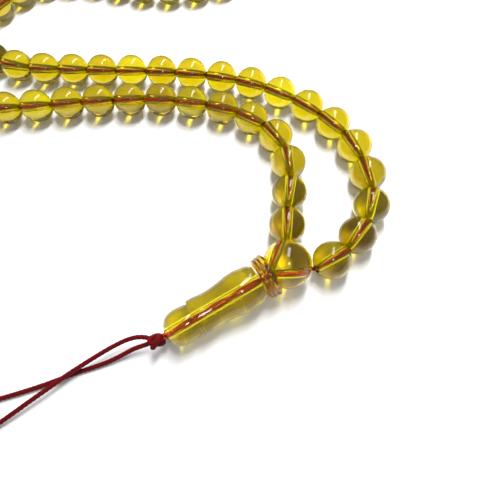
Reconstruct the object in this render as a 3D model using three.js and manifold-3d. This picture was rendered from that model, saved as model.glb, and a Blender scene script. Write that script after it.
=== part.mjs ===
// Misbaha: ninety-nine bored resin beads and two divider beads on one twisted cord.
// Both ends of the strand enter a larger ball, run together through a grooved ring and a turned
// pendant bead, and leave through a knot as two tails. It lies on the plane z = 0, with the origin
// under the ball. Lengths are in millimetres.
import * as THREE from "three";
import { mergeVertices } from "three/addons/utils/BufferGeometryUtils.js";
import Module from "manifold-3d";

const wasm = await Module();
wasm.setup();

// Beads and their bores.
const beadRadius = 4;
const beadBoreRadius = 0.75;
const beadGap = 0.05;
const beadSides = 10;
const beadArcSteps = 6;
const runSides = 8;
const runArcSteps = 4;
const neckRadius = 1.1;

// Divider beads: low turned discs with a ridge round the middle.
const dividerLength = 5;
const dividerRidgeWidth = 1.4;
const dividerShoulderRadius = 3.1;
const dividerFaceRadius = 2.3;
const dividerGap = 0.12;

// How the strand is counted: three sections, with a divider after the first and the second.
const sectionBeads = 33;
const sections = 3;
const beadCount = sectionBeads * sections;
const slackFirst = 45;
const slackLast = 49;
const slackLength = 24;
const alignRounds = 20;
const endCrossingShare = 0.8;
const walkStep = 0.0003;
const halvings = 30;

// Stretches whose beads share one body, as first and last bead.
const runs = [
  [14, 33],
  [34, 44],
  [50, 66],
  [67, 70],
  [74, 77],
];

// Joining ball: one hole towards the pendant, two towards the strand.
const ballRadius = 5;
const ballGap = 0.35;
const ballFlatRadius = 0.8;
const ballSides = 16;
const ballArcSteps = 8;
const stemBoreRadius = 0.95;
const apexDepth = 1.6;
const stemBoreOverlap = 0.6;
const drillOverrun = 2;
const weldDistance = 1e-4;

// Cord: one strand through the beads, two together through the pendant.
const cordDiameter = 0.9;
const pairDiameter = 1.3;
const cordSides = 8;
const cordJoinGap = 0.3;
const cordRestGap = 0.02;

// Pendant direction on the resting plane, in degrees from +X.
const pendantHeading = 205;

// Grooved ring, cupped round the ball and a little smaller than it.
const ringOuterRadius = 0.92 * ballRadius;
const ringCupRadius = 0.76 * ballRadius;
const ringBackRadius = 0.72 * ballRadius;
const ringThickness = 2.8;
const ringGrooveDepth = 0.28;
const ringEdgeRounding = 0.25;
const ringBackRounding = 0.08;
const ringCupSteps = 4;
const ringSides = 16;
const seatGap = 0.3;

// Turned pendant bead: a belly, a slim waist, a lip, then a domed nose.
const imameLength = 20.8;
const imameBoreRadius = 0.95;
const imameFaceRadius = 3.35;
const bellyStation = 4.2;
const bellyRadius = 4.4;
const waistStation = 10.2;
const waistRadius = 3.65;
const lipStation = 13.9;
const lipRadius = 3.95;
const lipRounding = 0.45;
const noseLength = 6;
const noseRadius = 3.65;
const noseNeckDepth = 0.25;
const noseNeckStation = 0.12;
const noseWidestShare = 0.4;
const imameSides = 16;
const imameSideSteps = 10;
const domeSteps = 6;

// Knots.
const knotLength = 3.6;
const knotRadius = 1.6;
const tailKnotLength = 2.4;
const tailKnotRadius = 1;
const knotSides = 8;
const tailStepDiameters = 2.5;

// The strand's route on the resting plane, from the ball round to the ball again (x, y).
const strandRoute = [
  [0, 0],
  [1.4, 9.4],
  [3.9, 25.2],
  [1.9, 33],
  [-3.3, 39.1],
  [-10, 43.2],
  [-25.2, 47.9],
  [-41.2, 49.6],
  [-65, 50.3],
  [-94, 53],
  [-123, 64.5],
  [-147, 86],
  [-159.5, 119],
  [-157, 153],
  [-138, 182],
  [-105, 197],
  [-66, 201],
  [-24, 201],
  [10, 196],
  [35, 178],
  [43, 151],
  [36, 122],
  [15, 101],
  [-16, 90.9],
  [-31.1, 93.1],
  [-46.6, 99.3],
  [-62.5, 100.3],
  [-75, 90.8],
  [-77.7, 80],
  [-73.6, 71],
  [-64.7, 65.2],
  [-49.1, 61.7],
  [-29.5, 58.5],
  [-17.5, 56],
  [-2.2, 50.6],
  [11, 41.1],
  [19.8, 28.1],
  [20.1, 12],
  [9.3, 0.3],
  [0, 0],
];

// Tail routes from the knot, as x and y from the knot's centre and the clearance under the cord.
const tailRouteA = [
  [-2.1, 0.95, 2.75],
  [-3.8, 1.2, 2.45],
  [-5.9, 1, 2.05],
  [-8.9, 0, 1.7],
  [-13, -1.9, 1.35],
  [-15.3, -3.1, 1.23],
  [-17.7, -4.4, 1.15],
  [-20.9, -6.4, 1.15],
  [-24.6, -8.6, 1],
  [-27.1, -10.1, 0.8],
  [-29.7, -11.6, 0.55],
  [-34.6, -14.4, 0.15],
  [-39.6, -16.8, 0],
  [-44.6, -18.7, 0],
  [-49.6, -20.1, 0],
  [-54.1, -21, 0],
];
const tailRouteB = [
  [-2.05, -0.3, 2.25],
  [-3.4, -0.5, 1.75],
  [-5, -0.8, 1.25],
  [-7.6, -1.7, 0.6],
  [-10.3, -2.6, 0.17],
  [-13.1, -3.3, 0],
  [-15.7, -3.85, 0],
  [-19.2, -4.8, 0],
  [-22.2, -5.6, 0],
  [-26.1, -6.5, 0],
  [-30.8, -7.4, 0],
  [-35.6, -8.1, 0],
  [-40.6, -9, 0],
  [-45.6, -10.1, 0],
  [-50.6, -11.4, 0],
  [-55.1, -12.7, 0],
];

const resin = { color: 0xb59a12, roughness: 0.08, metalness: 0, transparent: true, opacity: 0.7 };
const paleResin = { color: 0xc9bd1e, roughness: 0.08, metalness: 0, transparent: true, opacity: 0.7 };
const crimson = { color: 0x7c0a14, roughness: 0.75, metalness: 0 };

const up = new THREE.Vector3(0, 0, 1);
const misbaha = new THREE.Group();

function addMesh(name, geometry, finish) {
  const mesh = new THREE.Mesh(geometry, new THREE.MeshStandardMaterial(finish));
  mesh.name = name;
  misbaha.add(mesh);
  return mesh;
}

// A frame whose Y runs along an axis and whose Z stays as near to upright as it can.
function frameAlong(axis, centre) {
  const side = new THREE.Vector3().crossVectors(axis, up).normalize();
  const top = new THREE.Vector3().crossVectors(side, axis);
  return new THREE.Matrix4().makeBasis(side, axis, top).setPosition(centre);
}

function placeMesh(mesh, axis, centre) {
  frameAlong(axis, centre).decompose(mesh.position, mesh.quaternion, mesh.scale);
}

// Turns a closed outline of [radius, station] pairs round the Y axis.
function turned(outline, sides) {
  const points = outline.map(([radius, station]) => new THREE.Vector2(radius, station));
  points.push(points[0].clone());
  return new THREE.LatheGeometry(points, sides);
}

function sphereArc(radius, fromAngle, toAngle, steps, centre = 0) {
  const arc = [];
  for (let i = 0; i <= steps; i += 1) {
    const angle = THREE.MathUtils.lerp(fromAngle, toAngle, i / steps);
    arc.push([radius * Math.sin(angle), centre - radius * Math.cos(angle)]);
  }
  return arc;
}

// ---- The strand: where each piece sits on the cord ----

const boreHalfLength = Math.sqrt(beadRadius ** 2 - beadBoreRadius ** 2);
const ballCentre = new THREE.Vector3(0, 0, ballRadius);

function strandPieces() {
  const pieces = [];
  for (let number = 1; number <= beadCount; number += 1) {
    pieces.push({ bead: number, half: beadRadius, boreHalf: boreHalfLength });
    if (number % sectionBeads === 0 && number < beadCount) {
      pieces.push({ divider: number / sectionBeads, half: dividerLength / 2, boreHalf: dividerLength / 2 });
    }
  }
  return pieces;
}

function spacing(one, other) {
  const gap = one.divider || other.divider ? dividerGap : beadGap;
  return one.half + other.half + gap;
}

// Walks along the route from a centre until the straight distance from it reaches the reach.
function walk(curve, from, centre, reach, direction) {
  const step = walkStep * direction;
  let place = from;
  while (curve.getPoint(place + step).distanceTo(centre) < reach) place += step;
  let near = place;
  let far = place + step;
  for (let i = 0; i < halvings; i += 1) {
    const middle = (near + far) / 2;
    if (curve.getPoint(middle).distanceTo(centre) < reach) near = middle;
    else far = middle;
  }
  return near;
}

function layStrand(pieces) {
  const ballReach = ballRadius + ballGap + beadRadius;
  let needed = 2 * ballReach + slackLength;
  for (let i = 1; i < pieces.length; i += 1) needed += spacing(pieces[i - 1], pieces[i]);
  const route = strandRoute.map(([x, y]) => new THREE.Vector3(x, y, beadRadius));
  const drawn = new THREE.CatmullRomCurve3(route);
  drawn.arcLengthDivisions = 2000;
  const scale = needed / drawn.getLength();
  const points = strandRoute.map(([x, y]) => new THREE.Vector3(x * scale, y * scale, beadRadius));
  const curve = new THREE.CatmullRomCurve3(points);
  const firstSlack = pieces.findIndex((piece) => piece.bead === slackFirst);
  const lastSlack = pieces.findIndex((piece) => piece.bead === slackLast);

  let place = 0;
  let centre = ballCentre;
  for (let i = 0; i < firstSlack; i += 1) {
    const reach = i === 0 ? ballReach : spacing(pieces[i - 1], pieces[i]);
    place = walk(curve, place, centre, reach, 1);
    centre = curve.getPoint(place);
    pieces[i].centre = centre;
  }
  place = 1;
  centre = ballCentre;
  for (let i = pieces.length - 1; i > lastSlack; i -= 1) {
    const reach = i === pieces.length - 1 ? ballReach : spacing(pieces[i + 1], pieces[i]);
    place = walk(curve, place, centre, reach, -1);
    centre = curve.getPoint(place);
    pieces[i].centre = centre;
  }
  // The slack beads share the straight stretch that is left, at even gaps.
  const start = pieces[firstSlack - 1].centre;
  const end = pieces[lastSlack + 1].centre;
  const shares = lastSlack - firstSlack + 2;
  for (let i = firstSlack; i <= lastSlack; i += 1) {
    pieces[i].centre = start.clone().lerp(end, (i - firstSlack + 1) / shares);
  }
}

function boreMouth(piece, direction) {
  return piece.centre.clone().addScaledVector(piece.axis, direction * piece.boreHalf);
}

// Where the cord leaves the ball: straight towards the near end of the neighbouring bore.
function ballMouth(nearEnd) {
  return ballCentre.clone().add(nearEnd.clone().sub(ballCentre).setLength(ballRadius));
}

// Turns each bore onto the line between the points where the cord crosses the gaps on either side.
// In the wider gaps at the ball, the crossing lies nearer to the bead, to keep the cord in its bore.
function alignBores(pieces) {
  const last = pieces.length - 1;
  pieces.forEach((piece, i) => {
    const before = i === 0 ? ballCentre : pieces[i - 1].centre;
    const after = i === last ? ballCentre : pieces[i + 1].centre;
    piece.axis = after.clone().sub(before).normalize();
  });
  for (let round = 0; round < alignRounds; round += 1) {
    const nearFirst = boreMouth(pieces[0], -1);
    const nearLast = boreMouth(pieces[last], 1);
    const crossings = [ballMouth(nearFirst).lerp(nearFirst, endCrossingShare)];
    for (let i = 1; i <= last; i += 1) {
      crossings.push(boreMouth(pieces[i - 1], 1).lerp(boreMouth(pieces[i], -1), 0.5));
    }
    crossings.push(ballMouth(nearLast).lerp(nearLast, endCrossingShare));
    pieces.forEach((piece, i) => {
      piece.axis = crossings[i + 1].clone().sub(crossings[i]).normalize();
    });
  }
}

const pieces = strandPieces();
layStrand(pieces);
alignBores(pieces);
const pieceOfBead = new Map(pieces.filter((piece) => piece.bead).map((piece) => [piece.bead, piece]));

// ---- Beads ----

function beadOutline(steps) {
  const mouth = Math.asin(beadBoreRadius / beadRadius);
  return sphereArc(beadRadius, mouth, Math.PI - mouth, steps);
}

function beadName(number) {
  return "bead_" + String(number).padStart(2, "0");
}

function addBead(piece) {
  const mesh = addMesh(beadName(piece.bead), turned(beadOutline(beadArcSteps), beadSides), resin);
  placeMesh(mesh, piece.axis, piece.centre);
}

// Beads in a row, turned straight with thin necks between them, then bent onto their places.
function addRun(first, last) {
  const row = [];
  for (let number = first; number <= last; number += 1) row.push(pieceOfBead.get(number));
  const step = 2 * beadRadius + beadGap;
  const neck = Math.asin(neckRadius / beadRadius);
  const outline = [];
  row.forEach((piece, i) => {
    const steps = sphereArc(beadRadius, neck, Math.PI - neck, runArcSteps, i * step);
    outline.push(...steps);
  });
  const lastStation = (row.length - 1) * step;
  outline.unshift([beadBoreRadius, -boreHalfLength]);
  outline.push([beadBoreRadius, lastStation + boreHalfLength]);
  // The bore's wall goes back past every neck.
  for (let i = row.length - 1; i > 0; i -= 1) {
    outline.push([beadBoreRadius, i * step - boreHalfLength]);
    outline.push([beadBoreRadius, (i - 1) * step + boreHalfLength]);
  }
  const geometry = turned(outline, runSides);
  const frames = row.map((piece) => frameAlong(piece.axis, piece.centre));
  const position = geometry.getAttribute("position");
  const vertex = new THREE.Vector3();
  for (let i = 0; i < position.count; i += 1) {
    vertex.fromBufferAttribute(position, i);
    const owner = THREE.MathUtils.clamp(Math.round(vertex.y / step), 0, row.length - 1);
    vertex.y -= owner * step;
    vertex.applyMatrix4(frames[owner]);
    position.setXYZ(i, vertex.x, vertex.y, vertex.z);
  }
  addMesh("beads_" + first + "_to_" + last, geometry, resin);
}

function addDivider(piece) {
  const half = dividerLength / 2;
  const ridge = dividerRidgeWidth / 2;
  const shoulder = (half + ridge) / 2;
  const outline = [
    [beadBoreRadius, -half],
    [dividerFaceRadius, -half],
    [dividerShoulderRadius, -shoulder],
    [beadRadius, -ridge],
    [beadRadius, ridge],
    [dividerShoulderRadius, shoulder],
    [dividerFaceRadius, half],
    [beadBoreRadius, half],
  ];
  const mesh = addMesh("divider_bead_" + piece.divider, turned(outline, ringSides), resin);
  placeMesh(mesh, piece.axis, piece.centre);
}

const inRun = new Set();
for (const [first, last] of runs) {
  for (let number = first; number <= last; number += 1) inRun.add(number);
  addRun(first, last);
}
for (const piece of pieces) {
  if (piece.divider) addDivider(piece);
  else if (!inRun.has(piece.bead)) addBead(piece);
}

// ---- Cord through the strand ----

function roundSection(diameter) {
  const corners = [];
  for (let i = 0; i < cordSides; i += 1) {
    const angle = (2 * Math.PI * i) / cordSides;
    corners.push(new THREE.Vector2(Math.cos(angle), Math.sin(angle)).multiplyScalar(diameter / 2));
  }
  return new THREE.Shape(corners);
}

// A path whose steps fall on its own points, so that the cord bends only between the pieces.
class PointPath extends THREE.Curve {
  constructor(points) {
    super();
    this.points = points;
  }

  getPoint(t, target = new THREE.Vector3()) {
    const place = THREE.MathUtils.clamp(t, 0, 1) * (this.points.length - 1);
    const i = Math.min(Math.floor(place), this.points.length - 2);
    return target.lerpVectors(this.points[i], this.points[i + 1], place - i);
  }

  getPointAt(u, target) {
    return this.getPoint(u, target);
  }

  getTangentAt(u, target) {
    return this.getTangent(u, target);
  }
}

const cordPoints = [boreMouth(pieces[0], -1)];
for (let i = 1; i < pieces.length; i += 1) {
  cordPoints.push(boreMouth(pieces[i - 1], 1).lerp(boreMouth(pieces[i], -1), 0.5));
}
cordPoints.push(boreMouth(pieces[pieces.length - 1], 1));

const cordLoop = new THREE.ExtrudeGeometry(roundSection(cordDiameter), {
  steps: cordPoints.length - 1,
  bevelEnabled: false,
  extrudePath: new PointPath(cordPoints),
});
addMesh("cord_loop", cordLoop, crimson);

// ---- Pendant: ball, ring, turned bead and the doubled cord, all on one axis from the ball ----

const ringStart = Math.sqrt((ballRadius + seatGap) ** 2 - ringCupRadius ** 2);
const ringEnd = ringStart + ringThickness;
const imameStart = ringEnd + seatGap;
const noseEnd = imameStart + imameLength;
const heading = THREE.MathUtils.degToRad(pendantHeading);

// The lip or the belly lies on the resting plane, so the axis falls from the ball's centre by this angle.
const fallToLip = Math.atan2(ballRadius - lipRadius, imameStart + lipStation);
const fallToBelly = Math.atan2(ballRadius - bellyRadius, imameStart + bellyStation);
const fall = Math.min(fallToLip, fallToBelly);
const pendantAxis = new THREE.Vector3(
  Math.cos(heading) * Math.cos(fall),
  Math.sin(heading) * Math.cos(fall),
  -Math.sin(fall),
);

function alongPendant(station) {
  return ballCentre.clone().addScaledVector(pendantAxis, station);
}

function solidOf(geometry, matrix) {
  const bare = new THREE.BufferGeometry();
  bare.setAttribute("position", geometry.getAttribute("position"));
  bare.setIndex(geometry.getIndex());
  bare.applyMatrix4(matrix);
  const merged = mergeVertices(bare, weldDistance);
  return new wasm.Manifold(
    new wasm.Mesh({
      numProp: 3,
      vertProperties: merged.getAttribute("position").array,
      triVerts: new Uint32Array(merged.getIndex().array),
    }),
  );
}

function geometryOf(solid) {
  const made = solid.getMesh();
  const geometry = new THREE.BufferGeometry();
  geometry.setAttribute("position", new THREE.BufferAttribute(made.vertProperties, 3));
  geometry.setIndex(new THREE.BufferAttribute(made.triVerts, 1));
  geometry.computeVertexNormals();
  return geometry;
}

function rod(from, to, radius) {
  const along = to.clone().sub(from);
  const bar = new THREE.CylinderGeometry(radius, radius, along.length(), cordSides);
  return solidOf(bar, frameAlong(along.clone().normalize(), from.clone().lerp(to, 0.5)));
}

const apex = alongPendant(ballRadius - apexDepth);
const mouthFirst = ballMouth(boreMouth(pieces[0], -1));
const mouthLast = ballMouth(boreMouth(pieces[pieces.length - 1], 1));

function beyond(from, to) {
  return to.clone().add(to.clone().sub(from).setLength(drillOverrun));
}

function addBall() {
  const flatAngle = Math.asin(ballFlatRadius / ballRadius);
  const outline = sphereArc(ballRadius, flatAngle, Math.PI, ballArcSteps);
  // The ball stands on a small flat at its lowest point, and its highest point is on the axis.
  outline[0][1] = -ballRadius;
  outline[ballArcSteps][0] = 0;
  const profile = [[0, -ballRadius], ...outline].map(([radius, height]) => new THREE.Vector2(radius, height));
  const upright = new THREE.Matrix4().makeRotationX(Math.PI / 2).setPosition(ballCentre);
  const ball = solidOf(new THREE.LatheGeometry(profile, ballSides), upright);
  const stemFrom = alongPendant(ballRadius - apexDepth - stemBoreOverlap);
  const stemTo = alongPendant(ballRadius);
  const drilled = ball
    .subtract(rod(apex, beyond(apex, mouthFirst), beadBoreRadius))
    .subtract(rod(apex, beyond(apex, mouthLast), beadBoreRadius))
    .subtract(rod(stemFrom, beyond(stemFrom, stemTo), stemBoreRadius));
  addMesh("joining_ball", geometryOf(drilled), resin);
}

function addPendantCord() {
  const legRadius = cordDiameter / 2;
  const stem = rod(apex, alongPendant(noseEnd), pairDiameter / 2);
  const legFirst = rod(apex, mouthFirst, legRadius);
  const legLast = rod(apex, mouthLast, legRadius);
  addMesh("pendant_cord", geometryOf(stem.add(legFirst).add(legLast)), crimson);
}

// The ring's ball side is cupped to the ball, and two grooves run round its rim.
function addRing() {
  const cupRadius = ballRadius + seatGap;
  const cupFrom = Math.asin(stemBoreRadius / cupRadius);
  const cupTo = Math.asin(ringCupRadius / cupRadius);
  const cup = [];
  for (let i = 0; i <= ringCupSteps; i += 1) {
    const angle = THREE.MathUtils.lerp(cupFrom, cupTo, i / ringCupSteps);
    cup.push([cupRadius * Math.sin(angle), cupRadius * Math.cos(angle)]);
  }
  const valley = ringOuterRadius - ringGrooveDepth;
  // Each rim point is a radius and its share of the thickness.
  const rimShares = [
    [ringOuterRadius - ringEdgeRounding, 0.2],
    [ringOuterRadius, 0.32],
    [valley, 0.45],
    [ringOuterRadius, 0.58],
    [valley, 0.7],
    [ringOuterRadius - ringBackRounding, 0.82],
  ];
  const rim = rimShares.map(([radius, share]) => [radius, ringStart + share * ringThickness]);
  const back = [
    [ringBackRadius, ringEnd],
    [stemBoreRadius, ringEnd],
  ];
  const mesh = addMesh("ring_collar", turned([...cup, ...rim, ...back], ringSides), resin);
  placeMesh(mesh, pendantAxis, ballCentre);
}

function addImame() {
  const noseStart = imameLength - noseLength;
  const noseWidest = noseStart + noseWidestShare * noseLength;
  // The side leaves the face steeply, to most of the belly's radius in a fifth of its station.
  const side = new THREE.SplineCurve([
    new THREE.Vector2(imameFaceRadius, 0),
    new THREE.Vector2(0.3 * imameFaceRadius + 0.7 * bellyRadius, 0.2 * bellyStation),
    new THREE.Vector2(bellyRadius, bellyStation),
    new THREE.Vector2(waistRadius, waistStation),
    new THREE.Vector2(lipRadius, lipStation),
  ]);
  const outline = [[imameBoreRadius, 0]];
  for (const point of side.getPoints(imameSideSteps)) outline.push([point.x, point.y]);
  outline.push([lipRadius - lipRounding * 0.3, noseStart - lipRounding * 0.5]);
  outline.push([lipRadius - lipRounding, noseStart]);
  outline.push([noseRadius - noseNeckDepth, noseStart + noseNeckStation]);
  const domeEnd = Math.acos(imameBoreRadius / noseRadius);
  for (let i = 0; i <= domeSteps; i += 1) {
    const angle = (domeEnd * i) / domeSteps;
    const rise = Math.sin(angle) / Math.sin(domeEnd);
    outline.push([noseRadius * Math.cos(angle), THREE.MathUtils.lerp(noseWidest, imameLength, rise)]);
  }
  const placed = outline.map(([radius, station]) => [radius, imameStart + station]);
  const mesh = addMesh("imame", turned(placed, imameSides), paleResin);
  placeMesh(mesh, pendantAxis, ballCentre);
}

addBall();
addPendantCord();
addRing();
addImame();

// ---- Knots and tails ----

// A knot's outer shape, as shares of its radius and length: full in the middle, round at the ends.
const knotProfile = [
  [0, -0.5],
  [0.62, -0.44],
  [1, -0.16],
  [1, 0.16],
  [0.62, 0.44],
  [0, 0.5],
];

function knot(name, centre, axis, length, radius) {
  const outline = knotProfile.map(([across, along]) => new THREE.Vector2(across * radius, along * length));
  placeMesh(addMesh(name, new THREE.LatheGeometry(outline, knotSides), crimson), axis, centre);
}

const knotCentre = alongPendant(noseEnd + cordJoinGap + knotLength / 2);
knot("end_knot", knotCentre, pendantAxis, knotLength, knotRadius);

function addTail(letter, route) {
  const points = route.map(
    ([x, y, clearance]) =>
      new THREE.Vector3(
        knotCentre.x + x,
        knotCentre.y + y,
        clearance + cordDiameter / 2 + cordRestGap,
      ),
  );
  const path = new THREE.CatmullRomCurve3(points);
  const tail = new THREE.ExtrudeGeometry(roundSection(cordDiameter), {
    steps: Math.round(path.getLength() / (tailStepDiameters * cordDiameter)),
    bevelEnabled: false,
    extrudePath: path,
  });
  addMesh("tail_" + letter, tail, crimson);
  const end = points[points.length - 1];
  const direction = end.clone().sub(points[points.length - 2]).normalize();
  const centre = end.clone().addScaledVector(direction, cordJoinGap + tailKnotLength / 2);
  centre.z = tailKnotRadius;
  knot("tail_knot_" + letter, centre, direction, tailKnotLength, tailKnotRadius);
}

addTail("a", tailRouteA);
addTail("b", tailRouteB);

export default misbaha;
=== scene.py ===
# Misbaha prayer beads: ninety-nine bored resin beads and two dividers on one twisted crimson cord,
# joined at a drilled ball, with a grooved ring and a turned pendant bead (the imame), a knot and
# two tails. Lengths are worked out in millimetres and written to the meshes in metres.
import math

import bmesh
import bpy
from mathutils import Matrix, Vector


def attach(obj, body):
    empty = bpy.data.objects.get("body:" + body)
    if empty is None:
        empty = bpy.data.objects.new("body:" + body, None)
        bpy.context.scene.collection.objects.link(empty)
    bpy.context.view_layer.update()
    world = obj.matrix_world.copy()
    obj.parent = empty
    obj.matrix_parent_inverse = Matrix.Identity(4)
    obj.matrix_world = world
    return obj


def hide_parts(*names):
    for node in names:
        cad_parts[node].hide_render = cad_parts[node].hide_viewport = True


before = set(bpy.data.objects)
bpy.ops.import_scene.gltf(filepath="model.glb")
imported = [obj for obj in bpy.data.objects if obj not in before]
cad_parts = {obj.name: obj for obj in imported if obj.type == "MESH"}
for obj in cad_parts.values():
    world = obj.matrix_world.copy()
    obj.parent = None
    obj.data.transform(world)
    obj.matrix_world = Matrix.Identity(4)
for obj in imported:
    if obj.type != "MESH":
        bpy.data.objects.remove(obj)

MM = 0.001
UP = Vector((0, 0, 1))

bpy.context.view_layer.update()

# ---- Camera: its place in metres, and how far it is tilted down and rolled ----

CAMERA_AT = Vector((-9.0, -27.3, 79.479)) * MM
CAMERA_TILT = math.radians(65.709)
CAMERA_ROLL = math.radians(5.587)
CAMERA_LENS = 29.367
SENSOR_WIDTH = 36
NEAREST_SEEN = 0.002
FARTHEST_SEEN = 10


def add_camera():
    level_right = Vector((1, 0, 0))
    level_up = Vector((0, math.sin(CAMERA_TILT), math.cos(CAMERA_TILT)))
    right = level_right * math.cos(CAMERA_ROLL) - level_up * math.sin(CAMERA_ROLL)
    upward = level_right * math.sin(CAMERA_ROLL) + level_up * math.cos(CAMERA_ROLL)
    back = right.cross(upward)
    camera = bpy.data.objects.new("camera", bpy.data.cameras.new("camera"))
    bpy.context.scene.collection.objects.link(camera)
    camera.data.sensor_width = SENSOR_WIDTH
    camera.data.lens = CAMERA_LENS
    camera.data.clip_start = NEAREST_SEEN
    camera.data.clip_end = FARTHEST_SEEN
    turn = Matrix((right, upward, back)).transposed().to_4x4()
    camera.matrix_world = Matrix.Translation(CAMERA_AT) @ turn
    bpy.context.scene.camera = camera


add_camera()

# ---- Sizes shared with the CAD part, in millimetres ----

BEAD_RADIUS = 4
BORE_RADIUS = 0.75
BEAD_GAP = 0.05
SECTION_BEADS = 33
BEAD_COUNT = 99
SLACK_FIRST = 45
SLACK_LAST = 49
SLACK_LENGTH = 24
ALIGN_ROUNDS = 20
END_CROSSING_SHARE = 0.8
CURVE_SAMPLES = 2000
WALK_STEP = 0.0003
HALVINGS = 30
DIVIDER_LENGTH = 5
DIVIDER_GAP = 0.12
# Beads that the CAD part holds in rows, as first and last.
RUNS = ((14, 33), (34, 44), (50, 66), (67, 70), (74, 77))

BALL_RADIUS = 5
BALL_GAP = 0.35
APEX_DEPTH = 1.6
STEM_BORE_RADIUS = 0.95
BALL_CENTRE = Vector((0, 0, BALL_RADIUS))

CORD_DIAMETER = 0.9
TAIL_DIAMETER = 1
CORD_JOIN_GAP = 0.3
CORD_REST_GAP = 0.02

PENDANT_HEADING = math.radians(205)
SEAT_GAP = 0.3
RING_OUTER_RADIUS = 0.92 * BALL_RADIUS
RING_CUP_RADIUS = 0.76 * BALL_RADIUS
RING_BACK_RADIUS = 0.72 * BALL_RADIUS
RING_THICKNESS = 2.8
IMAME_LENGTH = 20.8
LIP_STATION = 13.9
LIP_RADIUS = 3.95
BELLY_STATION = 4.2
BELLY_RADIUS = 4.4

KNOT_LENGTH = 3.6
KNOT_RADIUS = 1.6
TAIL_KNOT_LENGTH = 2.4
TAIL_KNOT_RADIUS = 1

# The strand's route on the resting plane, from the ball round to the ball again (x, y).
STRAND_ROUTE = (
    (0, 0), (1.4, 9.4), (3.9, 25.2), (1.9, 33), (-3.3, 39.1), (-10, 43.2), (-25.2, 47.9),
    (-41.2, 49.6), (-65, 50.3), (-94, 53), (-123, 64.5), (-147, 86), (-159.5, 119),
    (-157, 153), (-138, 182), (-105, 197), (-66, 201), (-24, 201), (10, 196), (35, 178),
    (43, 151), (36, 122), (15, 101), (-16, 90.9), (-31.1, 93.1), (-46.6, 99.3),
    (-62.5, 100.3), (-75, 90.8), (-77.7, 80), (-73.6, 71), (-64.7, 65.2), (-49.1, 61.7),
    (-29.5, 58.5), (-17.5, 56), (-2.2, 50.6), (11, 41.1), (19.8, 28.1), (20.1, 12),
    (9.3, 0.3), (0, 0),
)

# Tail routes from the knot, as x and y from the knot's centre and the clearance under the cord.
TAIL_ROUTE_A = (
    (-2.1, 0.95, 2.75), (-3.8, 1.2, 2.45), (-5.9, 1, 2.05), (-8.9, 0, 1.7), (-13, -1.9, 1.35),
    (-15.3, -3.1, 1.23), (-17.7, -4.4, 1.15), (-20.9, -6.4, 1.15), (-24.6, -8.6, 1),
    (-27.1, -10.1, 0.8), (-29.7, -11.6, 0.55), (-34.6, -14.4, 0.15), (-39.6, -16.8, 0),
    (-44.6, -18.7, 0), (-49.6, -20.1, 0), (-54.1, -21, 0),
)
TAIL_ROUTE_B = (
    (-2.05, -0.3, 2.25), (-3.4, -0.5, 1.75), (-5, -0.8, 1.25), (-7.6, -1.7, 0.6),
    (-10.3, -2.6, 0.17), (-13.1, -3.3, 0), (-15.7, -3.85, 0), (-19.2, -4.8, 0),
    (-22.2, -5.6, 0), (-26.1, -6.5, 0), (-30.8, -7.4, 0), (-35.6, -8.1, 0), (-40.6, -9, 0),
    (-45.6, -10.1, 0), (-50.6, -11.4, 0), (-55.1, -12.7, 0),
)


class SmoothRoute:
    """A centripetal curve through its points, walked from 0 to 1 as the CAD part walks it."""

    def __init__(self, points):
        before = points[0] * 2 - points[1]
        after = points[-1] * 2 - points[-2]
        self.points = [before, *points, after]
        self.spans = len(points) - 1

    def at(self, share):
        place = min(max(share, 0), 1) * self.spans
        i = min(int(place), self.spans - 1)
        rest = place - i
        a, b, c, d = self.points[i:i + 4]
        ab = (b - a).length_squared ** 0.25
        bc = (c - b).length_squared ** 0.25
        cd = (d - c).length_squared ** 0.25
        leave = ((b - a) / ab - (c - a) / (ab + bc) + (c - b) / bc) * bc
        arrive = ((c - b) / bc - (d - b) / (bc + cd) + (d - c) / cd) * bc
        square = rest * rest
        cube = square * rest
        return (
            b
            + leave * rest
            + (3 * (c - b) - 2 * leave - arrive) * square
            + (2 * (b - c) + leave + arrive) * cube
        )

    def evenly(self, step):
        """Points along the curve, about one step apart."""
        fine = [self.at(i / CURVE_SAMPLES) for i in range(CURVE_SAMPLES + 1)]
        return evenly(fine, step)


def evenly(line, step):
    """The same line with its points one step apart, or a little less."""
    lengths = [0]
    for a, b in zip(line, line[1:]):
        lengths.append(lengths[-1] + (b - a).length)
    count = math.ceil(lengths[-1] / step)
    points = []
    j = 0
    for i in range(count + 1):
        wanted = lengths[-1] * i / count
        while j < len(line) - 2 and lengths[j + 1] < wanted:
            j += 1
        share = (wanted - lengths[j]) / (lengths[j + 1] - lengths[j])
        points.append(line[j].lerp(line[j + 1], share))
    return points


# ---- Where the beads sit, as the CAD part lays them ----


class Piece:
    """A bead or a divider: half its length, half its bore's length, its centre and its bore's axis."""

    def __init__(self, name, half, bore_half, bead=0):
        self.name = name
        self.half = half
        self.bore_half = bore_half
        self.bead = bead
        self.centre = None
        self.axis = None

    def mouth(self, direction):
        return self.centre + self.axis * direction * self.bore_half


def spacing(one, other):
    both_beads = one.bead and other.bead
    return one.half + other.half + (BEAD_GAP if both_beads else DIVIDER_GAP)


def walk(curve, place, centre, reach, direction):
    """The place along a curve where it is first as far as the reach from a centre."""
    step = WALK_STEP * direction
    while (curve.at(place + step) - centre).length < reach:
        place += step
    near, far = place, place + step
    for _ in range(HALVINGS):
        middle = (near + far) / 2
        if (curve.at(middle) - centre).length < reach:
            near = middle
        else:
            far = middle
    return near


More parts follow.
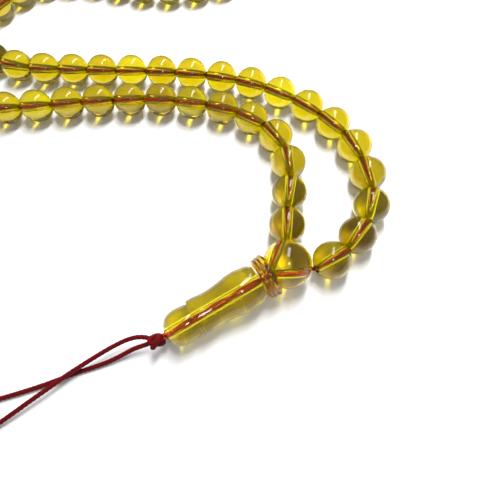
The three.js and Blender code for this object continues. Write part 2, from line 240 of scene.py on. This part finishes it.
def strand_pieces():
    """All the beads in their order, with a divider after each section."""
    bore_half = math.sqrt(BEAD_RADIUS**2 - BORE_RADIUS**2)
    pieces = []
    for number in range(1, BEAD_COUNT + 1):
        pieces.append(Piece(f"bead_{number:02d}", BEAD_RADIUS, bore_half, number))
        if number % SECTION_BEADS == 0 and number < BEAD_COUNT:
            name = f"divider_bead_{number // SECTION_BEADS}"
            pieces.append(Piece(name, DIVIDER_LENGTH / 2, DIVIDER_LENGTH / 2))
    return pieces


def lay_strand(pieces):
    """Puts the pieces side by side on the route from both its ends. The slack is between them."""
    ball_reach = BALL_RADIUS + BALL_GAP + BEAD_RADIUS
    needed = 2 * ball_reach + SLACK_LENGTH
    needed += sum(spacing(a, b) for a, b in zip(pieces, pieces[1:]))
    route = [Vector((x, y, BEAD_RADIUS)) for x, y in STRAND_ROUTE]
    drawn = SmoothRoute(route)
    marks = [drawn.at(i / CURVE_SAMPLES) for i in range(CURVE_SAMPLES + 1)]
    scale = needed / sum((b - a).length for a, b in zip(marks, marks[1:]))
    curve = SmoothRoute([Vector((p.x * scale, p.y * scale, p.z)) for p in route])
    first_slack = next(i for i, p in enumerate(pieces) if p.bead == SLACK_FIRST)
    last_slack = next(i for i, p in enumerate(pieces) if p.bead == SLACK_LAST)

    place, centre = 0, BALL_CENTRE
    for i in range(first_slack):
        reach = spacing(pieces[i - 1], pieces[i]) if i else ball_reach
        place = walk(curve, place, centre, reach, 1)
        centre = curve.at(place)
        pieces[i].centre = centre
    place, centre = 1, BALL_CENTRE
    last = len(pieces) - 1
    for i in range(last, last_slack, -1):
        reach = spacing(pieces[i + 1], pieces[i]) if i < last else ball_reach
        place = walk(curve, place, centre, reach, -1)
        centre = curve.at(place)
        pieces[i].centre = centre
    start, end = pieces[first_slack - 1].centre, pieces[last_slack + 1].centre
    shares = last_slack - first_slack + 2
    for i in range(first_slack, last_slack + 1):
        pieces[i].centre = start.lerp(end, (i - first_slack + 1) / shares)


def ball_mouth(near_end):
    """Where the cord comes out of the ball towards the nearest bead."""
    return BALL_CENTRE + (near_end - BALL_CENTRE).normalized() * BALL_RADIUS


def crossings_of(pieces):
    """The points where the cord passes from one piece to the next."""
    near_first, near_last = pieces[0].mouth(-1), pieces[-1].mouth(1)
    crossings = [ball_mouth(near_first).lerp(near_first, END_CROSSING_SHARE)]
    for a, b in zip(pieces, pieces[1:]):
        crossings.append(a.mouth(1).lerp(b.mouth(-1), 0.5))
    crossings.append(ball_mouth(near_last).lerp(near_last, END_CROSSING_SHARE))
    return crossings


def align_bores(pieces):
    """Turns each bore along the cord that goes through it."""
    centres = [BALL_CENTRE, *(p.centre for p in pieces), BALL_CENTRE]
    for i, piece in enumerate(pieces):
        piece.axis = (centres[i + 2] - centres[i]).normalized()
    for _ in range(ALIGN_ROUNDS):
        crossings = crossings_of(pieces)
        for i, piece in enumerate(pieces):
            piece.axis = (crossings[i + 1] - crossings[i]).normalized()


pieces = strand_pieces()
lay_strand(pieces)
align_bores(pieces)
mouth_first = ball_mouth(pieces[0].mouth(-1))
mouth_last = ball_mouth(pieces[-1].mouth(1))

# ---- Pendant axis ----

ring_start = math.sqrt((BALL_RADIUS + SEAT_GAP) ** 2 - RING_CUP_RADIUS**2)
ring_end = ring_start + RING_THICKNESS
imame_start = ring_end + SEAT_GAP
nose_end = imame_start + IMAME_LENGTH
fall_to_lip = math.atan2(BALL_RADIUS - LIP_RADIUS, imame_start + LIP_STATION)
fall_to_belly = math.atan2(BALL_RADIUS - BELLY_RADIUS, imame_start + BELLY_STATION)
fall = min(fall_to_lip, fall_to_belly)
pendant_axis = Vector((
    math.cos(PENDANT_HEADING) * math.cos(fall),
    math.sin(PENDANT_HEADING) * math.cos(fall),
    -math.sin(fall),
))


def along_pendant(station):
    return BALL_CENTRE + pendant_axis * station


apex = along_pendant(BALL_RADIUS - APEX_DEPTH)
knot_centre = along_pendant(nose_end + CORD_JOIN_GAP + KNOT_LENGTH / 2)

# ---- Materials ----


def linear(hexed):
    """A linear colour from an sRGB hex value."""
    parts = [int(hexed[i:i + 2], 16) / 255 for i in (1, 3, 5)]
    return [p / 12.92 if p <= 0.04045 else ((p + 0.055) / 1.055) ** 2.4 for p in parts] + [1]


def node(tree, kind, links=None, **settings):
    """Adds a node, sets its values and links its inputs. Keys that name inputs set them."""
    made = tree.nodes.new(kind)
    for key, value in settings.items():
        name = key.replace("_", " ")
        if key in made.bl_rna.properties:
            setattr(made, key, value)
        else:
            made.inputs[name].default_value = value
    for name, output in (links or {}).items():
        tree.links.new(made.inputs[name], output)
    return made


def new_material(name):
    material = bpy.data.materials.new(name)
    material.use_nodes = True
    material.node_tree.nodes.clear()
    return material, material.node_tree


DRILLED_ROUGHNESS = 0.09


def cast_resin(name, tint, depth, density):
    """Cast polyester resin, tumbled to a high gloss: clear, tinted right through, so that it is
    darkest where the light's way through it is longest. Bores keep the drill's faint matt finish."""
    material, tree = new_material(name)
    place = node(tree, "ShaderNodeTexCoord")
    # Tumbling leaves faint flats and scratches, about half a millimetre apart.
    polish = node(tree, "ShaderNodeTexNoise", {"Vector": place.outputs["Object"]}, Scale=2000, Detail=3)
    tumbled = node(
        tree, "ShaderNodeMapRange", {"Value": polish.outputs["Fac"]},
        From_Min=0.3, From_Max=0.7, To_Min=0.004, To_Max=0.022,
    )
    drilled = node(tree, "ShaderNodeAttribute", attribute_name="drilled")
    rough = node(
        tree, "ShaderNodeMath", {0: drilled.outputs["Fac"], 2: tumbled.outputs["Result"]},
        operation="MULTIPLY_ADD",
    )
    rough.inputs[1].default_value = DRILLED_ROUGHNESS
    swell = node(tree, "ShaderNodeTexNoise", {"Vector": place.outputs["Object"]}, Scale=420, Detail=1)
    bump = node(
        tree, "ShaderNodeBump", {"Height": swell.outputs["Fac"]},
        Strength=0.05, Distance=0.00006,
    )
    shader = node(
        tree, "ShaderNodeBsdfPrincipled",
        {"Roughness": rough.outputs["Value"], "Normal": bump.outputs["Normal"]},
        Base_Color=linear(tint), IOR=1.52, Transmission_Weight=1,
    )
    inside = node(tree, "ShaderNodeVolumeAbsorption", Color=linear(depth), Density=density)
    node(
        tree, "ShaderNodeOutputMaterial",
        {"Surface": shader.outputs["BSDF"], "Volume": inside.outputs["Volume"]},
    )
    return material


def twisted_cord(name, light, dark):
    """Twisted polyester cord: three plies of fine glossy filament, dyed crimson. A scarlet copy paints
    in the light resin gathers on it.
    """
    material, tree = new_material(name)
    along = node(tree, "ShaderNodeUVMap", uv_map="cord")
    # Filaments are about 0.05 mm apart round the cord and run with the plies.
    stretch = node(tree, "ShaderNodeMapping", {"Vector": along.outputs["UV"]}, Scale=(60, 1.2, 1))
    filament = node(tree, "ShaderNodeTexNoise", {"Vector": stretch.outputs["Vector"]}, Scale=1, Detail=2)
    colour = node(tree, "ShaderNodeMix", {"Factor": filament.outputs["Fac"]}, data_type="RGBA")
    colour.inputs["A"].default_value = linear(dark)
    colour.inputs["B"].default_value = linear(light)
    bump = node(
        tree, "ShaderNodeBump", {"Height": filament.outputs["Fac"]},
        Strength=0.5, Distance=0.00004,
    )
    shader = node(
        tree, "ShaderNodeBsdfPrincipled",
        {"Normal": bump.outputs["Normal"]},
        Roughness=0.6, IOR=1.45, Specular_IOR_Level=0.2,
    )
    tree.links.new(shader.inputs["Base Color"], colour.outputs["Result"])
    node(tree, "ShaderNodeOutputMaterial", {"Surface": shader.outputs["BSDF"]})
    return material


# Hand-mixed batches of the same yellow resin. The eye sees small steps of depth between beads.
golden = cast_resin("cast_resin_golden", "#F4E890", "#F0ED24", 730)
amber = cast_resin("cast_resin_amber", "#F4E68A", "#F0ED24", 765)
straw = cast_resin("cast_resin_straw", "#F4EA94", "#F1EF26", 670)
# The ball is thicker than a bead and is cast clearer, so that both look alike.
clear = cast_resin("cast_resin_ball", "#F6EC98", "#F5F22A", 480)
# The imame's batch is paler and more lemon, and the thin ring's is warmer.
lemon = cast_resin("cast_resin_lemon", "#F6EE86", "#F3F024", 490)
honey = cast_resin("cast_resin_honey", "#F8E070", "#F6EA28", 560)
# Bare cord is a deep crimson. The scarlet copy is painted light: the light the resin gathers on cord in
# a bore.
crimson = twisted_cord("twisted_polyester_crimson", "#7A0710", "#340205")
painted_lit_cord = twisted_cord("twisted_polyester_painted_lit", "#F46A34", "#D04418")
# Batches as they come along the strand, ten beads at a time.
TINTS = (golden, golden, amber, golden, straw, golden, amber, golden, golden, straw)
TINT_STRIDE = 7

# ---- Making pieces ----

WELD_DISTANCE = 1e-5
PIECE_CREASE = 35

def frame_along(axis, centre):
    """A frame whose Y runs along an axis and whose Z stays as near to upright as it can."""
    side = axis.cross(UP).normalized()
    top = side.cross(axis)
    turn = Matrix((side, axis, top)).transposed().to_4x4()
    return Matrix.Translation(centre) @ turn


def turned(outline, steps):
    """Spins a closed outline of (radius, station) points round the Y axis."""
    shape = bmesh.new()
    ring = [shape.verts.new((radius, station, 0)) for radius, station in outline]
    edges = [shape.edges.new((a, b)) for a, b in zip(ring, ring[1:] + ring[:1])]
    bmesh.ops.spin(
        shape, geom=ring + edges, cent=(0, 0, 0), axis=(0, 1, 0), angle=2 * math.pi,
        steps=steps, use_merge=True,
    )
    bmesh.ops.remove_doubles(shape, verts=shape.verts, dist=WELD_DISTANCE)
    bmesh.ops.recalc_face_normals(shape, faces=shape.faces)
    return shape


def mark_bore(shape, radius):
    """Marks the points of a bore along Y, which keep the drilled finish."""
    layer = shape.verts.layers.float.new("drilled")
    for vert in shape.verts:
        if math.hypot(vert.co.x, vert.co.z) < radius:
            vert[layer] = 1


def finish_piece(name, shape, materials, body, replaced, crease=PIECE_CREASE):
    """Writes a shape in millimetres to a smooth-shaded piece in metres."""
    bmesh.ops.scale(shape, vec=(MM, MM, MM), verts=shape.verts)
    mesh = bpy.data.meshes.new(name)
    shape.to_mesh(mesh)
    shape.free()
    mesh.shade_smooth()
    mesh.set_sharp_from_angle(angle=math.radians(crease))
    for material in materials:
        mesh.materials.append(material)
    piece = bpy.data.objects.new(name, mesh)
    bpy.context.scene.collection.objects.link(piece)
    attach(piece, body)
    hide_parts(*replaced)
    return piece


def arc(radius, start, end, steps, centre=0):
    """Outline points on a circle round a point of the Y axis, by angle from the axis."""
    points = []
    for i in range(steps + 1):
        angle = start + (end - start) * i / steps
        points.append((radius * math.sin(angle), centre - radius * math.cos(angle)))
    return points


# ---- Cord: three plies, twisted once round in TWIST_PITCH, with grooves PLY_SHARE deep ----

PLIES = 3
PLY_SHARE = 0.16
TWIST_PITCH = 2.6
SECTION_POINTS = 15
ROOT_STEP = 0.3
KNOT_STEP = 0.2
KNOT_PITCH = 1.6
KNOT_MARKS = 120
KNOT_WRAPS = 3
KNOT_CORD = 1.1
TAIL_KNOT_CORD = 0.8
CORD_CREASE = 60


def ply_section(diameter, plies=PLIES):
    """The outline of twisted plies, as radius and angle."""
    points = []
    for i in range(SECTION_POINTS):
        angle = 2 * math.pi * i / SECTION_POINTS
        lobe = abs(math.cos(plies * angle / 2))
        points.append((diameter / 2 * (1 - PLY_SHARE + PLY_SHARE * lobe), angle))
    return points


def cord_tube(line, diameter, pitch=TWIST_PITCH, plies=PLIES):
    """A twisted cord along a line of points: one outline extruded from point to point."""
    shape = bmesh.new()
    layer = shape.loops.layers.uv.new("cord")
    section = ply_section(diameter, plies)
    tangents = []
    for i in range(len(line)):
        ahead = line[min(i + 1, len(line) - 1)]
        behind = line[max(i - 1, 0)]
        tangents.append((ahead - behind).normalized())
    side = tangents[0].cross(UP).normalized()
    gone = 0
    rings = []
    for i, (point, tangent) in enumerate(zip(line, tangents)):
        if i:
            gone += (point - line[i - 1]).length
        side = (side - tangent * side.dot(tangent)).normalized()
        top = side.cross(tangent)
        ring = []
        for radius, angle in section:
            turn = angle + 2 * math.pi * gone / pitch
            place = point + (side * math.cos(turn) + top * math.sin(turn)) * radius
            ring.append(shape.verts.new(place))
        rings.append((ring, gone))
    count = len(section)
    for (low, low_gone), (high, high_gone) in zip(rings, rings[1:]):
        for j in range(count):
            k = (j + 1) % count
            face = shape.faces.new((low[j], low[k], high[k], high[j]))
            places = (j / count, low_gone), ((j + 1) / count, low_gone)
            places += ((j + 1) / count, high_gone), (j / count, high_gone)
            for loop, uv in zip(face.loops, places):
                loop[layer].uv = uv
    shape.faces.new(rings[0][0])
    shape.faces.new(rings[-1][0])
    bmesh.ops.recalc_face_normals(shape, faces=shape.faces)
    return shape


# Tails first: they are the free cords.
def add_tail(letter, route):
    """One tail. Also gives its line and its length."""
    points = [
        Vector((knot_centre.x + x, knot_centre.y + y, clear + TAIL_DIAMETER / 2 + CORD_REST_GAP))
        for x, y, clear in route
    ]
    line = SmoothRoute(points).evenly(TWIST_PITCH / 10)
    length = sum((b - a).length for a, b in zip(line, line[1:]))
    name = "tail_" + letter
    tail = finish_piece(
        "crimson_" + name, cord_tube(line, TAIL_DIAMETER), [crimson], "pendant", [name],
        CORD_CREASE,
    )
    return tail, line, length


def join_shape(shape, other):
    """Adds another shape to a shape."""
    mesh = bpy.data.meshes.new("joined")
    other.to_mesh(mesh)
    other.free()
    shape.from_mesh(mesh)
    bpy.data.meshes.remove(mesh)


def knot_line(centre, axis, length, radius, cord_radius):
    """An overhand knot drawn tight: a cord's line that wraps three times over its own bundle."""
    turn = frame_along(axis, centre)
    line = []
    for i in range(KNOT_MARKS):
        angle = 2 * math.pi * i / KNOT_MARKS
        wave = radius - cord_radius
        around = 2 * angle
        over = KNOT_WRAPS * angle
        out = wave * (0.62 + 0.38 * math.cos(over))
        point = Vector((
            out * math.cos(around),
            (length / 2 - cord_radius) * 0.92 * math.sin(over),
            out * math.sin(around),
        ))
        line.append(turn @ point)
    line.append(line[0].copy())
    return line


def add_knot(name, body_name, centre, axis, length, radius, cord_diameter, roots=()):
    """A knot, with a short length of cord from its middle to each point where cord leaves it."""
    line = evenly(knot_line(centre, axis, length, radius, cord_diameter / 2), KNOT_STEP)
    shape = cord_tube(line, cord_diameter, KNOT_PITCH)
    for root in roots:
        join_shape(shape, cord_tube(evenly([centre, root], ROOT_STEP), TAIL_DIAMETER))
    return finish_piece(
        name, shape, [crimson], "pendant", [body_name],
        CORD_CREASE,
    )


tail_roots = []
for letter, route in (("a", TAIL_ROUTE_A), ("b", TAIL_ROUTE_B)):
    tail, line, length = add_tail(letter, route)
    tail_roots.append(line[0])
    direction = (line[-1] - line[-4]).normalized()
    centre = line[-1] + direction * (CORD_JOIN_GAP + TAIL_KNOT_LENGTH / 2)
    centre.z = TAIL_KNOT_RADIUS
    stop = add_knot(
        "crimson_tail_knot_" + letter, "tail_knot_" + letter, centre, direction,
        TAIL_KNOT_LENGTH, TAIL_KNOT_RADIUS, TAIL_KNOT_CORD,
    )

throat = along_pendant(nose_end)
add_knot(
    "crimson_end_knot", "end_knot", knot_centre, pendant_axis, KNOT_LENGTH, KNOT_RADIUS,
    KNOT_CORD, [*tail_roots, throat],
)


def in_a_bore(point):
    """Whether a point of the strand's cord is inside a bead that stays in its place."""
    for piece in pieces:
        slides = SLACK_FIRST <= piece.bead <= SLACK_LAST
        if not slides and (point - piece.centre).length < piece.bore_half:
            return True
    return False


def add_strand_cord():
    inner = crossings_of(pieces)[1:-1]
    line = [mouth_first, pieces[0].mouth(-1), *inner, pieces[-1].mouth(1), mouth_last]
    line = evenly(line, TWIST_PITCH / 6)
    # The cord starts in the painted lit scarlet copy; bare stretches are switched to crimson below.
    cord = finish_piece(
        "crimson_strand_cord", cord_tube(line, CORD_DIAMETER), [painted_lit_cord, crimson], "strand",
        ["cord_loop"], CORD_CREASE,
    )
    # In a bore the cord takes the scarlet copy, painted light for the resin's light falling on it; where
    # it lies bare it keeps its own crimson.
    bare = [not in_a_bore(a.lerp(b, 0.5)) for a, b in zip(line, line[1:])]
    for face in cord.data.polygons:
        stretch = face.index // SECTION_POINTS
        if stretch < len(bare) and bare[stretch]:
            face.material_index = 1


def helix(start, end, radius, pitch, phase, step):
    """A line that winds round the straight line between two points."""
    reach = (end - start).length
    turn = frame_along((end - start).normalized(), start)
    line = []
    count = math.ceil(reach / step)
    for i in range(count + 1):
        station = reach * i / count
        angle = phase + 2 * math.pi * station / pitch
        line.append(turn @ Vector((radius * math.cos(angle), station, radius * math.sin(angle))))
    return line


PAIR_PITCH = 12
PAIR_STRAND = 0.92
PAIR_SPREAD = 1.5
PAIR_TWIST = 2.2
PAIR_STEP = 0.25
LEG_MARKS = 8
LEG_MARKS_USED = 6


def add_pendant_cord():
    """The two ends of the cord, one from each of the ball's side holes, wound together."""
    bundle = bmesh.new()
    stem_end = along_pendant(nose_end + CORD_JOIN_GAP + 0.5)
    for phase, mouth in ((0, mouth_first), (math.pi, mouth_last)):
        leg = [mouth.lerp(apex, i / LEG_MARKS) for i in range(LEG_MARKS_USED)]
        stem = helix(
            apex, stem_end, (PAIR_SPREAD - PAIR_STRAND) / 2, PAIR_PITCH, phase, 2 * PAIR_STEP,
        )
        line = evenly(SmoothRoute(leg + stem[2:]).evenly(PAIR_STEP), PAIR_STEP)
        join_shape(bundle, cord_tube(line, PAIR_STRAND, PAIR_TWIST))
    # Nearly all of this pair lies in bores, so it is drawn in the scarlet copy: painted light for the
    # resin's light on it.
    finish_piece(
        "crimson_pendant_cord", bundle, [painted_lit_cord], "pendant", ["pendant_cord"],
        CORD_CREASE,
    )


add_strand_cord()
add_pendant_cord()

# ---- Beads ----

BEAD_STEPS = 48
BEAD_ARC_STEPS = 28
RIM_ROUND = 0.12
BORE_MARGIN = 0.05


def bead_outline():
    """A sphere's outline with a drilled bore whose rims are slightly rounded by tumbling."""
    mouth = math.asin((BORE_RADIUS + RIM_ROUND) / BEAD_RADIUS)
    outline = arc(BEAD_RADIUS, mouth, math.pi - mouth, BEAD_ARC_STEPS)
    half = outline[-1][1] - RIM_ROUND * 0.6
    bore = [(BORE_RADIUS + 0.03, half), (BORE_RADIUS, half - 0.15)]
    outline += bore
    outline += [(BORE_RADIUS, 0)]
    outline += [(radius, -station) for radius, station in reversed(bore)]
    return outline


def add_bead(piece, body, replaced):
    shape = turned(bead_outline(), BEAD_STEPS)
    mark_bore(shape, BORE_RADIUS + BORE_MARGIN)
    bmesh.ops.transform(shape, matrix=frame_along(piece.axis, piece.centre), verts=shape.verts)
    tint = TINTS[(piece.bead * TINT_STRIDE) % len(TINTS)]
    finish_piece("resin_" + piece.name, shape, [tint], body, replaced)


def add_divider(piece):
    """A short disc with a rounded edge between two flat shoulders."""
    half = DIVIDER_LENGTH / 2
    outline = [
        (BORE_RADIUS, -half + 0.1), (BORE_RADIUS + 0.1, -half), (2.1, -half), (2.3, -half + 0.1),
        (2.7, -2.0), (3.1, -1.6), (3.6, -1.05), (3.92, -0.7), (4, -0.45), (4, 0.45),
        (3.92, 0.7), (3.6, 1.05), (3.1, 1.6), (2.7, 2.0), (2.3, half - 0.1), (2.1, half),
        (BORE_RADIUS + 0.1, half), (BORE_RADIUS, half - 0.1),
    ]
    shape = turned(outline, BEAD_STEPS)
    mark_bore(shape, BORE_RADIUS + BORE_MARGIN)
    bmesh.ops.transform(shape, matrix=frame_along(piece.axis, piece.centre), verts=shape.verts)
    finish_piece("resin_" + piece.name, shape, [golden], piece.name, [piece.name])


run_of = {}
for first, last in RUNS:
    for number in range(first, last + 1):
        run_of[number] = f"beads_{first}_to_{last}"
for piece in pieces:
    if not piece.bead:
        add_divider(piece)
    elif piece.bead in run_of:
        add_bead(piece, "strand", [run_of[piece.bead]])
    else:
        add_bead(piece, piece.name, [piece.name])

# ---- Ball, ring and imame ----

HOLE_STEPS = 32
BALL_SUBDIVISIONS = 6
BALL_CREASE = 30
RING_STEPS = 64
RING_CREASE = 50
IMAME_STEPS = 80
IMAME_CREASE = 40
IMAME_BORE_RADIUS = 0.88


def drill(shape, start, end, radius):
    """A straight hole from start to end, as a cylinder to cut away."""
    reach = end - start
    turn = frame_along(reach.normalized(), start.lerp(end, 0.5))
    upright = Matrix.Rotation(math.pi / 2, 4, "X")
    bmesh.ops.create_cone(
        shape, cap_ends=True, segments=HOLE_STEPS, radius1=radius, radius2=radius,
        depth=reach.length, matrix=turn @ upright,
    )


def add_ball():
    """The ball, with its two side holes and the pendant's hole cut so that they meet inside."""
    ball = bmesh.new()
    bmesh.ops.create_icosphere(
        ball, subdivisions=BALL_SUBDIVISIONS, radius=BALL_RADIUS, matrix=Matrix.Translation(BALL_CENTRE),
    )
    holes = []
    for target, radius in ((mouth_first, BORE_RADIUS), (mouth_last, BORE_RADIUS)):
        shape = bmesh.new()
        drill(shape, apex, target + (target - apex).normalized() * 2, radius)
        holes.append(shape)
    shape = bmesh.new()
    stem_from = along_pendant(BALL_RADIUS - APEX_DEPTH - 0.6)
    drill(shape, stem_from, along_pendant(BALL_RADIUS + 2), STEM_BORE_RADIUS)
    holes.append(shape)
    piece = finish_piece(
        "resin_joining_ball", ball, [clear], "pendant", ["joining_ball"],
    )
    cutters = []
    for shape in holes:
        bmesh.ops.scale(shape, vec=(MM, MM, MM), verts=shape.verts)
        mesh = bpy.data.meshes.new("hole")
        shape.to_mesh(mesh)
        shape.free()
        cutter = bpy.data.objects.new("hole", mesh)
        bpy.context.scene.collection.objects.link(cutter)
        cut = piece.modifiers.new("hole", "BOOLEAN")
        cut.operation = "DIFFERENCE"
        cut.object = cutter
        cut.solver = "EXACT"
        cutters.append(cutter)
    bpy.context.view_layer.update()
    drilled = piece.evaluated_get(bpy.context.evaluated_depsgraph_get())
    cut_mesh = bpy.data.meshes.new_from_object(drilled)
    piece.modifiers.clear()
    piece.data = cut_mesh
    cut_mesh.shade_smooth()
    cut_mesh.set_sharp_from_angle(angle=math.radians(BALL_CREASE))
    for cutter in cutters:
        bpy.data.objects.remove(cutter)


def plain_spline(points, count):
    """An even curve through the points of an outline."""
    made = []
    spans = len(points) - 1
    for i in range(count + 1):
        place = spans * i / count
        j = min(int(place), spans - 1)
        t = place - j
        a, b = points[max(j - 1, 0)], points[j]
        c, d = points[j + 1], points[min(j + 2, spans)]
        made.append(tuple(
            0.5 * (2 * q + (r - p) * t + (2 * p - 5 * q + 4 * r - s) * t * t
                   + (3 * q - p - 3 * r + s) * t**3)
            for p, q, r, s in zip(a, b, c, d)
        ))
    return made


def add_ring():
    """The collar between ball and imame, cupped on the ball's side."""
    cup_radius = BALL_RADIUS + SEAT_GAP
    cup_from = math.asin(STEM_BORE_RADIUS / cup_radius)
    cup_to = math.asin((RING_CUP_RADIUS - 0.05) / cup_radius)
    cup = []
    for i in range(11):
        angle = cup_from + (cup_to - cup_from) * i / 10
        cup.append((cup_radius * math.sin(angle), cup_radius * math.cos(angle)))
    # One broad rounded bead on the ball's side, then two narrow ones with fine grooves between.
    rim = plain_spline([
        (3.86, ring_start), (4.2, ring_start + 0.12), (4.5, ring_start + 0.4),
        (RING_OUTER_RADIUS, ring_start + 0.72), (4.52, ring_start + 1.02), (4.36, ring_start + 1.2),
        (4.45, ring_start + 1.38), (4.5, ring_start + 1.6), (4.42, ring_start + 1.8),
        (4.24, ring_start + 1.94), (4.34, ring_start + 2.1), (4.36, ring_start + 2.3),
        (4.2, ring_start + 2.56), (3.86, ring_start + 2.74), (RING_BACK_RADIUS, ring_end),
    ], 60)
    back = [(STEM_BORE_RADIUS + 0.12, ring_end), (STEM_BORE_RADIUS, ring_end - 0.12)]
    shape = turned(cup + rim + back, RING_STEPS)
    mark_bore(shape, STEM_BORE_RADIUS + BORE_MARGIN)
    bmesh.ops.transform(shape, matrix=frame_along(pendant_axis, BALL_CENTRE), verts=shape.verts)
    finish_piece("resin_ring_collar", shape, [honey], "ring", ["ring_collar"], RING_CREASE)


def add_imame():
    """The turned pendant bead: belly, waist and flared lip, then a domed nose behind a step."""
    side = plain_spline([
        (3.3, 0), (3.62, 0.25), (4.02, 1.2), (4.3, 3.0), (4.4, 4.2), (4.29, 5.4), (3.99, 7.2),
        (3.76, 9.0), (3.66, 10.2), (3.71, 11.4), (3.86, 12.8), (3.95, 13.9), (3.94, 14.3),
        (3.86, 14.5),
    ], 96)
    side += [(3.74, 14.58), (3.36, 14.62)]
    nose = plain_spline([
        (3.3, 14.68), (3.5, 15.4), (3.64, 16.3), (3.68, 17.1), (3.6, 18.2), (3.34, 19),
        (2.86, 19.75), (2.1, 20.35), (1.4, 20.66), (1.05, 20.76),
    ], 44)
    outline = [(IMAME_BORE_RADIUS + 0.1, 0.0), *side, *nose]
    outline += [(IMAME_BORE_RADIUS, 20.66), (IMAME_BORE_RADIUS, 0.1)]
    placed = [(radius, imame_start + station) for radius, station in outline]
    shape = turned(placed, IMAME_STEPS)
    mark_bore(shape, IMAME_BORE_RADIUS + BORE_MARGIN)
    bmesh.ops.transform(shape, matrix=frame_along(pendant_axis, BALL_CENTRE), verts=shape.verts)
    finish_piece("resin_imame", shape, [lemon], "imame", ["imame"], IMAME_CREASE)


add_ball()
add_ring()
add_imame()

# ---- Floor and light ----


FLOOR_HALF = 1.5
SIDE_LIGHT = 0.3
CEILING_LIGHT = 0.28
SIDES_END = 0.45
CEILING_FROM = 0.85
SOFTBOX_POWER = 0.45
FILL_POWER = 1.35
NEAR_LAMP_POWER = 0.011
NEAR_LAMP_WIDTH = 0.014


def add_stage():
    """A sheet of matt white card."""
    shape = bmesh.new()
    bmesh.ops.create_grid(shape, x_segments=1, y_segments=1, size=FLOOR_HALF)
    mesh = bpy.data.meshes.new("floor")
    shape.to_mesh(mesh)
    shape.free()
    material, tree = new_material("matt_white_card")
    shader = node(tree, "ShaderNodeBsdfPrincipled", Base_Color=linear("#F7F7F7"), Roughness=0.9)
    node(tree, "ShaderNodeOutputMaterial", {"Surface": shader.outputs["BSDF"]})
    mesh.materials.append(material)
    floor = bpy.data.objects.new("floor", mesh)
    bpy.context.scene.collection.objects.link(floor)


def add_lamp(name, at, target, width, height, power):
    """A square-cornered lamp, in metres and watts, that faces its target."""
    data = bpy.data.lights.new(name, "AREA")
    data.shape = "RECTANGLE"
    data.size = width
    data.size_y = height
    data.energy = power
    lamp = bpy.data.objects.new(name, data)
    bpy.context.scene.collection.objects.link(lamp)
    lamp.location = at
    lamp.rotation_euler = (Vector(at) - Vector(target)).to_track_quat("Z", "Y").to_euler()
    return lamp


def add_world():
    """A dim, evenly lit room, so that most of the light comes from the lamps."""
    world = bpy.data.worlds.new("studio")
    bpy.context.scene.world = world
    world.use_nodes = True
    tree = world.node_tree
    tree.nodes.clear()
    place = node(tree, "ShaderNodeTexCoord")
    parts = node(tree, "ShaderNodeSeparateXYZ", {"Vector": place.outputs["Generated"]})
    height = node(
        tree, "ShaderNodeMapRange", {"Value": parts.outputs["Z"]},
        interpolation_type="SMOOTHSTEP",
        From_Min=SIDES_END, From_Max=CEILING_FROM, To_Min=SIDE_LIGHT, To_Max=CEILING_LIGHT,
    )
    sky = node(tree, "ShaderNodeBackground", {"Strength": height.outputs["Result"]}, Color=(1, 1, 1, 1))
    node(tree, "ShaderNodeOutputWorld", {"Surface": sky.outputs["Background"]})


def add_light():
    add_world()
    # A long softbox overhead. Part of its light is kept out of the highlights.
    softbox = (0.045, 0.16, 0.25), (0, 0, 0), 0.055, 0.28
    add_lamp("softbox", *softbox, SOFTBOX_POWER)
    fill = add_lamp("softbox_fill", *softbox, FILL_POWER)
    fill.visible_glossy = False
    # A small lamp beside the camera, which the balls and beads gather into a warm spot.
    near_place = 0.004, -0.03, 0.09
    near_size = NEAR_LAMP_WIDTH, NEAR_LAMP_WIDTH
    add_lamp("near_lamp", near_place, (0, 0, 0), *near_size, NEAR_LAMP_POWER)


add_stage()
add_light()
bpy.context.scene.view_settings.view_transform = "Standard"
# Light gathered by the beads keeps its sharp edges on the card.
bpy.context.scene.cycles.blur_glossy = 0
